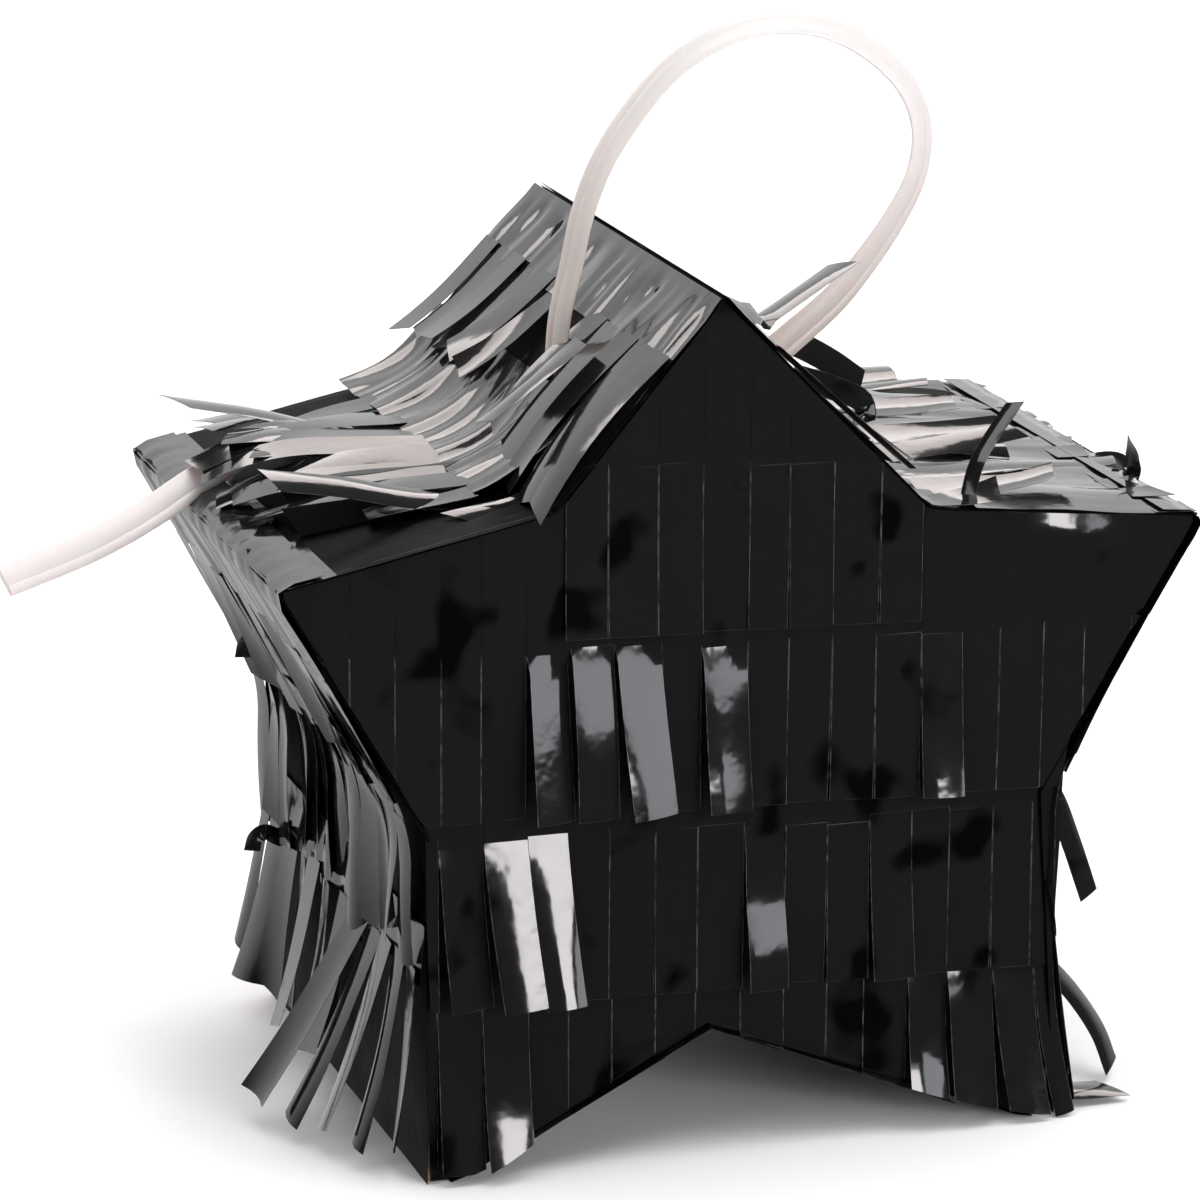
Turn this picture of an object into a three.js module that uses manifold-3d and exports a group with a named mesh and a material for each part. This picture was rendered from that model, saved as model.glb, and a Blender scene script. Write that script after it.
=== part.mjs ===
// A small star pinata: a card box in the outline of a five-pointed star, covered with rows of
// slit foil fringe, with a filling flap at the back and one plastic strap laced through its top.
//
// Millimetres. X points to the right of the front face, Y to the back and Z up. The origin is on
// the surface that the pinata stands on, under the middle of the box.

import * as THREE from 'three';
import { mergeVertices } from 'three/addons/utils/BufferGeometryUtils.js';
import Module from 'manifold-3d';

const wasm = await Module();
wasm.setup();

// ------------------------------------------------------------------ driving dimensions

const boxDepth = 82; // card face to card face
const cardThickness = 1;
const foilThickness = 0.3;
const gap = 0.3; // between any two pieces that touch
const foldRelief = 0.25; // taken off each end of a wall, where it meets the next one

const stripWidth = 6.6; // one strip of the fringe
const slitWidth = 0.35;
const stripLength = 24;
const bandHeight = 49; // an uncut header and the strips below it
const shingleTilt = Math.atan(0.6 / 25); // each row rides up over the header of the next
const rowSlope = THREE.MathUtils.degToRad(-1.6); // the rows were glued on by eye
const rowBottoms = { top: 80.2, arms: 53.5, waist: 25.4, legs: 0.4 };
const topRow = { centre: -0.9, strips: 8 };
const fullRowStrips = 22;
const trim = 0.15; // the fringe on a face is cut just inside the outline

const tabRing = { start: 1.6, width: 6, thickness: 0.4 }; // the walls' glue tabs

const flap = { centre: -1, top: 52.6, bottom: 26.4, width: 52.8, thickness: 0.6 };
const mouth = { width: 44, top: 49.6, bottom: 29.4 };
const flapStripLength = 16;
const windowClearance = 1.2; // round the flap, in the rows of the back

const strapWidth = 4.8;
const strapThickness = 0.8;
const strapPlane = -1.5 * stripWidth; // the loop comes out through a slit, in front of the middle
const tailSlit = 3.5 * stripWidth; // and the tail through one behind it
const cardHoleRadius = 3.2;
const foilHoleRadius = 4.6;
const punchLength = 16; // enough to go through a wall and its foil
const punchSides = 16;
const knotRadius = 3.6;
const knotFlatness = 0.8;
const knotDrop = 6.2; // from a hole down to the middle of its knot
const innerSlack = 8; // how far the strap's inner run sags

// The corners of the star, clockwise from the top. A hand-folded box leans a little, and each
// foot is folded flat where it stands.
const corners = {
  topTip: [-5, 129],
  rightShoulder: [27.5, 96],
  rightTip: [70, 92],
  rightWaist: [46, 51.5],
  rightHeel: [50, 0],
  rightToe: [47, 0],
  crotch: [-5, 20.5],
  leftToe: [-45, 0],
  leftHeel: [-48, 0],
  leftWaist: [-48.5, 54],
  leftTip: [-70, 91],
  leftShoulder: [-29.5, 99.5],
};

// ------------------------------------------------------------------ materials

const foilBlack = new THREE.MeshStandardMaterial({ color: 0x0b0b0c, roughness: 0.12, metalness: 0 });
const cardGrey = new THREE.MeshStandardMaterial({ color: 0x9b8468, roughness: 0.9, metalness: 0 });
const tapeBeige = new THREE.MeshStandardMaterial({ color: 0xb59f80, roughness: 0.85, metalness: 0 });
const strapWhite = new THREE.MeshStandardMaterial({ color: 0xf2efee, roughness: 0.4, metalness: 0 });

// ------------------------------------------------------------------ solids and groups

const pinata = new THREE.Group();

function toManifold(geometry) {
  const bare = geometry.clone();
  bare.deleteAttribute('normal');
  bare.deleteAttribute('uv');
  const merged = mergeVertices(bare, 1e-4);
  const vertProperties = new Float32Array(merged.attributes.position.array);
  const triVerts = new Uint32Array(merged.index.array);
  return new wasm.Manifold(new wasm.Mesh({ numProp: 3, vertProperties, triVerts }));
}

function toGeometry(manifold) {
  const mesh = manifold.getMesh();
  const geometry = new THREE.BufferGeometry();
  geometry.setAttribute('position', new THREE.BufferAttribute(mesh.vertProperties, 3));
  geometry.setIndex(new THREE.BufferAttribute(mesh.triVerts, 1));
  geometry.computeVertexNormals();
  return geometry;
}

// Keeps what lies inside `keep`, when it is given, and takes away every one of `cutters`.
function carve(geometry, keep, cutters) {
  let result = toManifold(geometry);
  if (keep) result = result.intersect(toManifold(keep));
  for (const cutter of cutters) result = result.subtract(toManifold(cutter));
  return toGeometry(result);
}

function addMesh(parent, name, geometry, material) {
  const mesh = new THREE.Mesh(geometry, material);
  mesh.name = name;
  parent.add(mesh);
  return mesh;
}

// A prism whose section is given in X and Z, from yFront to yBack. The section and its hole are
// both given clockwise, and the hole is turned round, as a shape's hole has to be.
function prismAlongY(section, yFront, yBack, hole = null) {
  const points = section.map(([x, z]) => new THREE.Vector2(x, z));
  const shape = new THREE.Shape(points);
  if (hole) {
    const holePoints = hole.map(([x, z]) => new THREE.Vector2(x, z));
    shape.holes.push(new THREE.Path(holePoints.reverse()));
  }
  const options = { depth: yBack - yFront, bevelEnabled: false };
  const geometry = new THREE.ExtrudeGeometry(shape, options);
  geometry.rotateX(Math.PI / 2);
  geometry.translate(0, yBack, 0);
  return geometry;
}

// A group that lies on a flat face: its X runs along the face, its Y is `up` and its Z points
// out of the face.
function faceGroup(origin, up, out) {
  const along = new THREE.Vector3().crossVectors(up, out);
  const group = new THREE.Group();
  group.applyMatrix4(new THREE.Matrix4().makeBasis(along, up, out).setPosition(origin));
  pinata.add(group);
  return group;
}

// ------------------------------------------------------------------ the star outline

const outline = Object.values(corners);
const starMiddle = new THREE.Vector3(0, 0, 60);

function inwardNormal(from, to) {
  return new THREE.Vector2(to[1] - from[1], from[0] - to[0]).normalize();
}

// A clockwise outline moved inwards by `distance`, with its corners kept sharp.
function inset(points, distance) {
  const count = points.length;
  return points.map((point, index) => {
    const before = inwardNormal(points[(index + count - 1) % count], point);
    const after = inwardNormal(point, points[(index + 1) % count]);
    const reach = distance / (1 + before.dot(after));
    return [point[0] + (before.x + after.x) * reach, point[1] + (before.y + after.y) * reach];
  });
}

// The star with each foot brought to a point below the floor, where its two walls would meet.
function sharpStar() {
  const { rightWaist, rightHeel, rightToe, crotch, leftToe, leftHeel, leftWaist } = corners;
  const rightFoot = crossing(rightWaist, rightHeel, crotch, rightToe);
  const leftFoot = crossing(leftWaist, leftHeel, crotch, leftToe);
  const { topTip, rightShoulder, rightTip, leftTip, leftShoulder } = corners;
  return [
    topTip, rightShoulder, rightTip, rightWaist, rightFoot,
    crotch, leftFoot, leftWaist, leftTip, leftShoulder,
  ];
}

// Where the line from a to b meets the line from c to d.
function crossing(a, b, c, d) {
  const run = [b[0] - a[0], b[1] - a[1]];
  const other = [d[0] - c[0], d[1] - c[1]];
  const apart = [c[0] - a[0], c[1] - a[1]];
  const turn = run[0] * other[1] - run[1] * other[0];
  const share = (apart[0] * other[1] - apart[1] * other[0]) / turn;
  return [a[0] + run[0] * share, a[1] + run[1] * share];
}

// ------------------------------------------------------------------ card box

const frontCard = -boxDepth / 2;
const backCard = boxDepth / 2;
const wallFront = frontCard + cardThickness + gap;
const wallBack = backCard - cardThickness - gap;

function rectangle(centre, width, bottom, top) {
  const left = centre - width / 2;
  const right = centre + width / 2;
  return [[left, bottom], [left, top], [right, top], [right, bottom]];
}

function addPanels() {
  const front = prismAlongY(outline, frontCard, frontCard + cardThickness);
  addMesh(pinata, 'front_panel', front, cardGrey);
  const mouthHole = rectangle(flap.centre, mouth.width, mouth.bottom, mouth.top);
  const back = prismAlongY(outline, backCard - cardThickness, backCard, mouthHole);
  addMesh(pinata, 'back_panel', back, cardGrey);
}

// A ring of glue tabs lies inside each panel, folded in from the edges of the walls.
function addGlueTabs() {
  const outer = inset(sharpStar(), tabRing.start);
  const inner = inset(sharpStar(), tabRing.start + tabRing.width);
  const front = prismAlongY(outer, wallFront, wallFront + tabRing.thickness, inner);
  addMesh(pinata, 'front_glue_tabs', front, tapeBeige);
  const back = prismAlongY(outer, wallBack - tabRing.thickness, wallBack, inner);
  addMesh(pinata, 'back_glue_tabs', back, tapeBeige);
}

// Each wall is one piece of card along one or two edges of the star, named from corner to corner.
const walls = {
  top_right_wall: ['topTip', 'rightShoulder'],
  right_arm_top_wall: ['rightShoulder', 'rightTip'],
  right_arm_lower_wall: ['rightTip', 'rightWaist'],
  right_leg_outer_wall: ['rightWaist', 'rightHeel', 'rightToe'],
  right_leg_inner_wall: ['rightToe', 'crotch'],
  left_leg_inner_wall: ['crotch', 'leftToe'],
  left_leg_outer_wall: ['leftToe', 'leftHeel', 'leftWaist'],
  left_arm_lower_wall: ['leftWaist', 'leftTip'],
  left_arm_top_wall: ['leftTip', 'leftShoulder'],
  top_left_wall: ['leftShoulder', 'topTip'],
};

function shortened(points) {
  const path = points.map(([x, z]) => new THREE.Vector2(x, z));
  const first = path[1].clone().sub(path[0]).setLength(foldRelief);
  const last = path.at(-2).clone().sub(path.at(-1)).setLength(foldRelief);
  path[0].add(first);
  path.at(-1).add(last);
  return path.map((point) => [point.x, point.y]);
}

function wallSection(cornerNames) {
  const inner = inset(outline, cardThickness);
  const order = Object.keys(corners);
  const outside = cornerNames.map((name) => corners[name]);
  const inside = cornerNames.map((name) => inner[order.indexOf(name)]);
  return [...shortened(outside), ...shortened(inside).reverse()];
}

// The strap passes through the wall in a punched hole.
function strapHole(exit, direction, radius) {
  const cutter = new THREE.CylinderGeometry(radius, radius, punchLength, punchSides);
  const turn = new THREE.Quaternion().setFromUnitVectors(new THREE.Vector3(0, 1, 0), direction);
  cutter.applyQuaternion(turn);
  cutter.translate(exit.x, exit.y, exit.z);
  return cutter;
}

const loopLeftExit = new THREE.Vector3(-19.3, strapPlane, 111.8);
const loopRightExit = new THREE.Vector3(12.6, strapPlane, 111.1);
const tailExit = new THREE.Vector3(-49.5, tailSlit, 95.3);
const loopLeftLean = new THREE.Vector3(0.1, 0, 1).normalize();
const loopRightLean = new THREE.Vector3(0.75, 0, 0.66).normalize();
const straightUp = new THREE.Vector3(0, 0, 1);

const strapExits = {
  top_left_wall: [loopLeftExit, loopLeftLean],
  top_right_wall: [loopRightExit, loopRightLean],
  left_arm_top_wall: [tailExit, straightUp],
};

function addWalls() {
  for (const [name, cornerNames] of Object.entries(walls)) {
    const section = wallSection(cornerNames);
    const plain = prismAlongY(section, wallFront, wallBack);
    const exit = strapExits[name];
    const cutters = exit ? [strapHole(...exit, cardHoleRadius)] : [];
    addMesh(pinata, name, cutters.length ? carve(plain, null, cutters) : plain, cardGrey);
  }
}

// ------------------------------------------------------------------ foil fringe

// One band in its own plane: Y is 0 along the header's upper edge and the strips hang below it.
function bandGeometry({ strips, height, cut }) {
  const width = strips * stripWidth;
  const shape = new THREE.Shape();
  shape.moveTo(-width / 2, 0);
  shape.lineTo(width / 2, 0);
  shape.lineTo(width / 2, -height);
  for (let slit = strips - 1; slit > 0; slit -= 1) {
    const middle = slit * stripWidth - width / 2;
    shape.lineTo(middle + slitWidth / 2, -height);
    shape.lineTo(middle + slitWidth / 2, cut - height);
    shape.lineTo(middle - slitWidth / 2, cut - height);
    shape.lineTo(middle - slitWidth / 2, -height);
  }
  shape.lineTo(-width / 2, -height);
  const options = { depth: foilThickness, bevelEnabled: false };
  return new THREE.ExtrudeGeometry(shape, options);
}

// Lays a band on a face group: the header's upper edge is at `header`, just off the card, and
// the strips stand further out.
function placedBand(band, centre, header, slope) {
  const geometry = bandGeometry(band);
  geometry.rotateX(-shingleTilt);
  geometry.rotateZ(slope);
  geometry.translate(centre, header, gap);
  return geometry;
}

const clipDepth = 6;

function faceShape(points, mirror) {
  const shape = new THREE.Shape(points.map(([x, z]) => new THREE.Vector2(x * mirror, z)));
  return new THREE.ExtrudeGeometry(shape, { depth: clipDepth, bevelEnabled: false });
}

// The four rows on the front or the back. `mirror` is 1 at the front and -1 at the back, where
// the face group's X runs the other way.
function addFaceRows(prefix, group, mirror, cutters) {
  const clip = faceShape(inset(outline, trim), mirror);
  for (const [row, bottom] of Object.entries(rowBottoms)) {
    const isTop = row === 'top';
    const band = { height: bandHeight, cut: stripLength, strips: isTop ? topRow.strips : fullRowStrips };
    const centre = isTop ? topRow.centre * mirror : 0;
    const geometry = placedBand(band, centre, bottom + bandHeight, rowSlope * mirror);
    const cuts = cutters[row] ?? [];
    addMesh(group, `${prefix}_fringe_${row}`, carve(geometry, clip, cuts), foilBlack);
  }
}

// The window that the rows on the back leave for the flap.
function flapWindow(bottom, top) {
  const points = rectangle(flap.centre, flap.width + windowClearance, bottom, top);
  return faceShape(points, -1);
}

const up = new THREE.Vector3(0, 0, 1);
const forwards = new THREE.Vector3(0, -1, 0);
const backwards = new THREE.Vector3(0, 1, 0);

function addFrontAndBackFringe() {
  const front = faceGroup(new THREE.Vector3(0, frontCard, 0), up, forwards);
  addFaceRows('front', front, 1, {});
  const back = faceGroup(new THREE.Vector3(0, backCard, 0), up, backwards);
  const belowFlap = flap.bottom - gap;
  const aboveFlap = flap.top + windowClearance;
  addFaceRows('back', back, -1, {
    arms: [flapWindow(belowFlap, aboveFlap)],
    waist: [flapWindow(0, aboveFlap)],
    legs: [flapWindow(belowFlap, aboveFlap)],
  });
}

// The bands on the walls. Each starts `start` below the wall's upper or inner corner and ends
// `end` below it, where Infinity means just short of the wall's far corner.
const wallBands = [
  { name: 'top_left_fringe', from: 'topTip', to: 'leftShoulder', start: 0.6, end: Infinity },
  { name: 'top_right_fringe', from: 'topTip', to: 'rightShoulder', start: 0.6, end: Infinity },
  { name: 'left_arm_top_fringe', from: 'leftShoulder', to: 'leftTip', start: 0.6, end: 29 },
  { name: 'left_tip_fringe', from: 'leftShoulder', to: 'leftTip', start: 26, end: Infinity },
  { name: 'right_arm_top_fringe', from: 'rightShoulder', to: 'rightTip', start: 0.6, end: 29 },
  { name: 'right_tip_fringe', from: 'rightShoulder', to: 'rightTip', start: 26, end: Infinity },
  { name: 'left_arm_lower_fringe', from: 'leftTip', to: 'leftWaist', start: 0.6, end: Infinity },
  { name: 'right_arm_lower_fringe', from: 'rightTip', to: 'rightWaist', start: 0.6, end: Infinity },
  { name: 'left_leg_upper_fringe', from: 'leftWaist', to: 'leftHeel', start: 1, end: 30 },
  { name: 'left_leg_lower_fringe', from: 'leftWaist', to: 'leftHeel', start: 26, end: Infinity },
  { name: 'right_leg_upper_fringe', from: 'rightWaist', to: 'rightHeel', start: 1, end: 30 },
  { name: 'right_leg_lower_fringe', from: 'rightWaist', to: 'rightHeel', start: 26, end: Infinity },
  { name: 'left_leg_inner_fringe', from: 'crotch', to: 'leftToe', start: 1, end: Infinity },
  { name: 'right_leg_inner_fringe', from: 'crotch', to: 'rightToe', start: 1, end: Infinity },
];
const wallBandStrips = 13;
const slitShare = 0.7; // the slits' share of a wall band's height
const endClearance = 1.6; // short of a fold
const footClearance = 5.2; // short of a foot, so that the foil stays off the floor

function addWallFringe() {
  for (const { name, from, to, start, end } of wallBands) {
    const [fromX, fromZ] = corners[from];
    const [toX, toZ] = corners[to];
    const upSlope = new THREE.Vector3(fromX - toX, 0, fromZ - toZ);
    const length = upSlope.length();
    upSlope.normalize();
    const out = new THREE.Vector3(-upSlope.z, 0, upSlope.x);
    const origin = new THREE.Vector3(fromX, 0, fromZ);
    if (out.dot(origin.clone().sub(starMiddle)) < 0) out.negate();
    const group = faceGroup(origin, upSlope, out);
    const clearance = toZ < 1 ? footClearance : endClearance;
    const bandEnd = Math.min(end, length - clearance);
    const height = bandEnd - start;
    const band = { strips: wallBandStrips, height, cut: height * slitShare };
    const geometry = placedBand(band, 0, -start, 0);
    const mesh = addMesh(group, name, geometry, foilBlack);
    const hole = bandHoles[name];
    if (hole) mesh.geometry = carvedInGroup(geometry, group, strapHole(...hole, foilHoleRadius));
  }
}

const bandHoles = {
  top_left_fringe: [loopLeftExit, loopLeftLean],
  top_right_fringe: [loopRightExit, loopRightLean],
  left_arm_top_fringe: [tailExit, straightUp],
};

// Cuts a hole that is placed in the pinata's frame out of a mesh that lies in a turned group.
function carvedInGroup(geometry, group, cutter) {
  group.updateMatrixWorld(true);
  const toGroup = group.matrixWorld.clone().invert();
  return carve(geometry, null, [cutter.applyMatrix4(toGroup)]);
}

// ------------------------------------------------------------------ filling flap

function addFlap() {
  const cardStart = backCard + gap;
  const card = prismAlongY(
    rectangle(flap.centre, flap.width, flap.bottom, flap.top),
    cardStart,
    cardStart + flap.thickness,
  );
  addMesh(pinata, 'fill_flap', card, cardGrey);
  const origin = new THREE.Vector3(flap.centre, cardStart + flap.thickness, flap.top);
  const group = faceGroup(origin, up, backwards);
  const height = flap.top - flap.bottom;
  const band = { strips: flap.width / stripWidth, height, cut: flapStripLength };
  addMesh(group, 'flap_fringe', placedBand(band, 0, 0, 0), foilBlack);
}

// ------------------------------------------------------------------ strap

// A flat strap: `profile` is its middle line in the plane that it bends in, given as pairs of
// (along, up), and its width stands square to that plane.
function strapGeometry(profile) {
  const points = profile.map(([along, height]) => new THREE.Vector3(along, height, 0));
  const curve = new THREE.CatmullRomCurve3(points);
  const steps = profile.length * 2;
  const left = [];
  const right = [];
  for (let step = 0; step <= steps; step += 1) {
    const point = curve.getPointAt(step / steps);
    const tangent = curve.getTangentAt(step / steps);
    const side = new THREE.Vector2(-tangent.y, tangent.x).setLength(strapThickness / 2);
    left.push(new THREE.Vector2(point.x + side.x, point.y + side.y));
    right.push(new THREE.Vector2(point.x - side.x, point.y - side.y));
  }
  const shape = new THREE.Shape([...left, ...right.reverse()]);
  const geometry = new THREE.ExtrudeGeometry(shape, { depth: strapWidth, bevelEnabled: false });
  geometry.translate(0, 0, -strapWidth / 2);
  return geometry;
}

// The loop's middle line in X and Z, from the left exit over the top to the right one.
const loopProfile = [
  [-19.3, 111.8], [-18.7, 119.9], [-17, 127.6], [-15.3, 135.6], [-12.2, 143.4], [-7, 151],
  [-1.5, 156.7], [5.5, 160.7], [13.4, 162.4], [21.7, 161.5], [29.1, 157.8], [34.9, 152.3],
  [37.6, 145.8], [37, 138.8], [34, 132.7], [29.8, 126.7], [24.4, 120.5], [18, 115.3],
  [12.6, 111.1],
];

// The tail's middle line: the distance from its hole, measured level, and its height.
const tailProfile = [
  [0.3, 97.6], [6, 97.2], [12, 96.4], [18, 95], [24.6, 93.4], [31, 91.6], [38, 90], [46, 88.7],
  [54.5, 87.9], [63.6, 87.2],
];
const tailEnd = new THREE.Vector2(-102.5, -12);

function addStrap() {
  const loop = strapGeometry(loopProfile);
  loop.rotateX(Math.PI / 2);
  const loopMesh = addMesh(pinata, 'hanging_loop', loop, strapWhite);
  loopMesh.position.y = strapPlane;

  const tailGroup = new THREE.Group();
  tailGroup.position.set(tailExit.x, tailExit.y, 0);
  tailGroup.rotation.z = Math.atan2(tailEnd.y - tailExit.y, tailEnd.x - tailExit.x);
  pinata.add(tailGroup);
  const tail = strapGeometry(tailProfile);
  tail.rotateX(Math.PI / 2);
  addMesh(tailGroup, 'ribbon_tail', tail, strapWhite);
}

// Inside the box the strap runs slack from the tail's hole to the loop's left hole, and a knot
// under each of the loop's holes keeps it from pulling out.
function addInnerStrap() {
  const knots = { left_knot: loopLeftExit, right_knot: loopRightExit };
  const inward = { left_knot: 1.5, right_knot: -4 };
  for (const [name, exit] of Object.entries(knots)) {
    const knot = addMesh(pinata, name, new THREE.SphereGeometry(knotRadius, 12, 8), strapWhite);
    knot.scale.set(1, 1, knotFlatness);
    knot.position.set(exit.x + inward[name], exit.y, exit.z - knotDrop);
  }
  const belowHole = new THREE.Vector3(1, -1, -4);
  const besideKnot = new THREE.Vector3(-knotRadius - gap, 2, -knotDrop - 3);
  const start = tailExit.clone().add(belowHole);
  const end = loopLeftExit.clone().add(besideKnot);
  const sag = start.clone().lerp(end, 0.5);
  sag.z -= innerSlack;
  const path = new THREE.CatmullRomCurve3([start, sag, end]);
  const section = new THREE.Shape();
  section.absellipse(0, 0, strapThickness, strapThickness, 0, Math.PI * 2);
  const options = { steps: 14, extrudePath: path, curveSegments: 4, bevelEnabled: false };
  addMesh(pinata, 'strap_inner_run', new THREE.ExtrudeGeometry(section, options), strapWhite);
}

// ------------------------------------------------------------------ assembly

addPanels();
addGlueTabs();
addWalls();
addFrontAndBackFringe();
addWallFringe();
addFlap();
addStrap();
addInnerStrap();

export default pinata;
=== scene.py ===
"""The looks of a small star pinata: black foil fringe over a card box, with a white plastic strap.

Lengths in this script are millimetres until a mesh is made, unless a name ends in _m.
"""

import math
import random

import bpy
import numpy as np
from mathutils import Matrix, Vector, noise


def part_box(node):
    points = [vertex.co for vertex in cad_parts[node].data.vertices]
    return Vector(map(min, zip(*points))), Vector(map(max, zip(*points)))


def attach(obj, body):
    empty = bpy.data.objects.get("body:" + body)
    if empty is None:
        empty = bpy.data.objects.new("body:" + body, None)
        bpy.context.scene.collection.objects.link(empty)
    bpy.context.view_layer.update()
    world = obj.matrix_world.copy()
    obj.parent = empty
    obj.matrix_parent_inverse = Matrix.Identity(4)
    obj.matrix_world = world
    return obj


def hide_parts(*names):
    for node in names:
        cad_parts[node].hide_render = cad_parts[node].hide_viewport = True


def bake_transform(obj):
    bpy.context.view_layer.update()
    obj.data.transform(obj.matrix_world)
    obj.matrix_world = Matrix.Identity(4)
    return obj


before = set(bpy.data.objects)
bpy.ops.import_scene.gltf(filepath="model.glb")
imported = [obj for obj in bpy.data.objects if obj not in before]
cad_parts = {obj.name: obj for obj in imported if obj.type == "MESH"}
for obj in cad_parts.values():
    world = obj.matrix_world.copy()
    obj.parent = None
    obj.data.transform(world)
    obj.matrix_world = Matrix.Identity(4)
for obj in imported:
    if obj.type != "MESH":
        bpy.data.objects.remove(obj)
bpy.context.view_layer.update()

MM = 0.001

# ------------------------------------------------------------------ sizes taken from the frame

FILM = 0.07  # thickness of a foil sheet
STRIP = 6.6  # width of one strip of the fringe
CARD_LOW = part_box("front_panel")[0]
FRONT_CARD = CARD_LOW.y / MM
BACK_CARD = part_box("back_panel")[1].y / MM
DEPTH_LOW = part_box("top_left_fringe")[0].y / MM - 0.1
DEPTH_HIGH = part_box("top_left_fringe")[1].y / MM + 0.1
STAR_MIDDLE = (0.0, 60.0)  # a point well inside the star, in X and Z
LOWEST = 0.15  # how far the front and back foil stays off the floor
ROW_SLOPE = math.tan(math.radians(-1.6))
ROW_BOTTOMS = {"top": 80.2, "arms": 53.5, "waist": 25.4, "legs": 0.4}


def star_corners():
    """The star's corners in X and Z, clockwise, read from the front panel."""
    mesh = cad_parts["front_panel"].data
    flat = {(round(v.co.x / MM, 2), round(v.co.z / MM, 2)) for v in mesh.vertices}
    x, z = STAR_MIDDLE
    return sorted(flat, key=lambda p: math.atan2(p[0] - x, p[1] - z) % math.tau)


def rotated_to_top(corners):
    """The same corners, with the star's top point first."""
    start = max(range(len(corners)), key=lambda i: corners[i][1])
    return corners[start:] + corners[:start]


CORNER_NAMES = (
    "top_tip", "right_shoulder", "right_tip", "right_waist", "right_heel", "right_toe",
    "crotch", "left_toe", "left_heel", "left_waist", "left_tip", "left_shoulder",
)
OUTLINE = rotated_to_top(star_corners())
CORNER = dict(zip(CORNER_NAMES, OUTLINE))


def star_span(x, grow=1.0):
    """The lowest and highest Z at this X of the star, made larger by `grow` about its middle."""
    heights = []
    middle = STAR_MIDDLE[1]
    outline = [(cx * grow, middle + (cz - middle) * grow) for cx, cz in OUTLINE]
    for (x0, z0), (x1, z1) in zip(outline, outline[1:] + outline[:1]):
        if x0 != x1 and min(x0, x1) <= x <= max(x0, x1):
            heights.append(z0 + (z1 - z0) * (x - x0) / (x1 - x0))
    if not heights:
        return None
    return min(heights), max(heights)


# ------------------------------------------------------------------ meshes from sheets


def smooth_step(value, low, high):
    t = min(1.0, max(0.0, (value - low) / (high - low)))
    return t * t * (3 - 2 * t)


def wave(point, size, seed):
    """Smooth noise from -1 to 1 with bumps of about `size` millimetres; a seed moves it elsewhere."""
    elsewhere = Vector((seed * 7.3, seed * 3.1, seed))
    return noise.noise(Vector(point) / size + elsewhere)


def link_object(name, data):
    """Adds an object with this data to the scene."""
    item = bpy.data.objects.new(name, data)
    bpy.context.scene.collection.objects.link(item)
    return item


class Sheets:
    """Collects grids of points, each a sheet of foil, and makes one mesh of thin closed bodies."""

    def __init__(self):
        self.verts, self.faces, self.edge, self.uvs, self.kinds = [], [], [], [], []

    def add(self, grid, edge=None, kind=0, keep=None):
        """grid is rows of points, and edge is 1 where the film was cut.

        kind is 0 for the shiny side of the film and 1 for its dull side, and keep may leave
        cells out.
        """
        points = np.array(grid, float)
        rows, cols = points.shape[:2]
        cells = [
            (r * cols + c, r * cols + c + 1, (r + 1) * cols + c + 1, (r + 1) * cols + c)
            for r in range(rows - 1)
            for c in range(cols - 1)
            if keep is None or keep(points[r:r + 2, c:c + 2].reshape(-1, 3).mean(0))
        ]
        flat = points.reshape(-1, 3)
        normals = np.zeros_like(flat)
        corners = np.array(cells)
        across = flat[corners[:, 2]] - flat[corners[:, 0]]
        crossed = np.cross(across, flat[corners[:, 3]] - flat[corners[:, 1]])
        for corner in corners.T:
            np.add.at(normals, corner, crossed)
        lengths = np.linalg.norm(normals, axis=1, keepdims=True)
        normals = normals / np.maximum(lengths, 1e-9)
        used = sorted({i for cell in cells for i in cell})
        place = {old: new for new, old in enumerate(used)}
        start = len(self.verts)
        count = len(used)
        edge = np.zeros(len(flat)) if edge is None else np.array(edge, float).reshape(-1)
        uv = np.stack(np.meshgrid(np.linspace(0, 1, cols), np.linspace(0, 1, rows)), -1).reshape(-1, 2)
        for side in (0.5, -0.5):
            self.verts += (flat + normals * FILM * side)[used].tolist()
            self.edge += edge[used].tolist()
            self.uvs += uv[used].tolist()
        borders = {}
        for a, b, c, d in cells:
            a, b, c, d = (place[i] for i in (a, b, c, d))
            self.faces.append((start + a, start + b, start + c, start + d))
            self.faces.append((start + count + d, start + count + c, start + count + b, start + count + a))
            for one, two in ((a, b), (b, c), (c, d), (d, a)):
                if (two, one) in borders:
                    del borders[(two, one)]
                else:
                    borders[(one, two)] = True
        for one, two in borders:
            self.faces.append((start + two, start + one, start + count + one, start + count + two))
        self.kinds += [kind] * (len(self.faces) - len(self.kinds))

    def build(self, name):
        mesh = bpy.data.meshes.new(name)
        mesh.from_pydata([tuple(c * MM for c in v) for v in self.verts], [], self.faces)
        attribute = mesh.attributes.new("cut_edge", "FLOAT", "POINT")
        attribute.data.foreach_set("value", self.edge)
        layer = mesh.uv_layers.new(name="UVMap")
        loops = np.zeros(len(mesh.loops), np.int32)
        mesh.loops.foreach_get("vertex_index", loops)
        layer.data.foreach_set("uv", np.array(self.uvs, np.float32)[loops].reshape(-1))
        mesh.shade_smooth()
        mesh.set_sharp_from_angle(angle=math.radians(55))
        mesh.materials.append(FOIL)
        if any(self.kinds):
            mesh.materials.append(DULL_FOIL)
            mesh.polygons.foreach_set("material_index", self.kinds)
        return link_object(name, mesh)


# ------------------------------------------------------------------ materials


def new_material(name):
    material = bpy.data.materials.new(name)
    material.use_nodes = True
    tree = material.node_tree
    return material, tree, tree.nodes["Principled BSDF"]


def grey(value):
    return (value, value, value)


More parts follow.
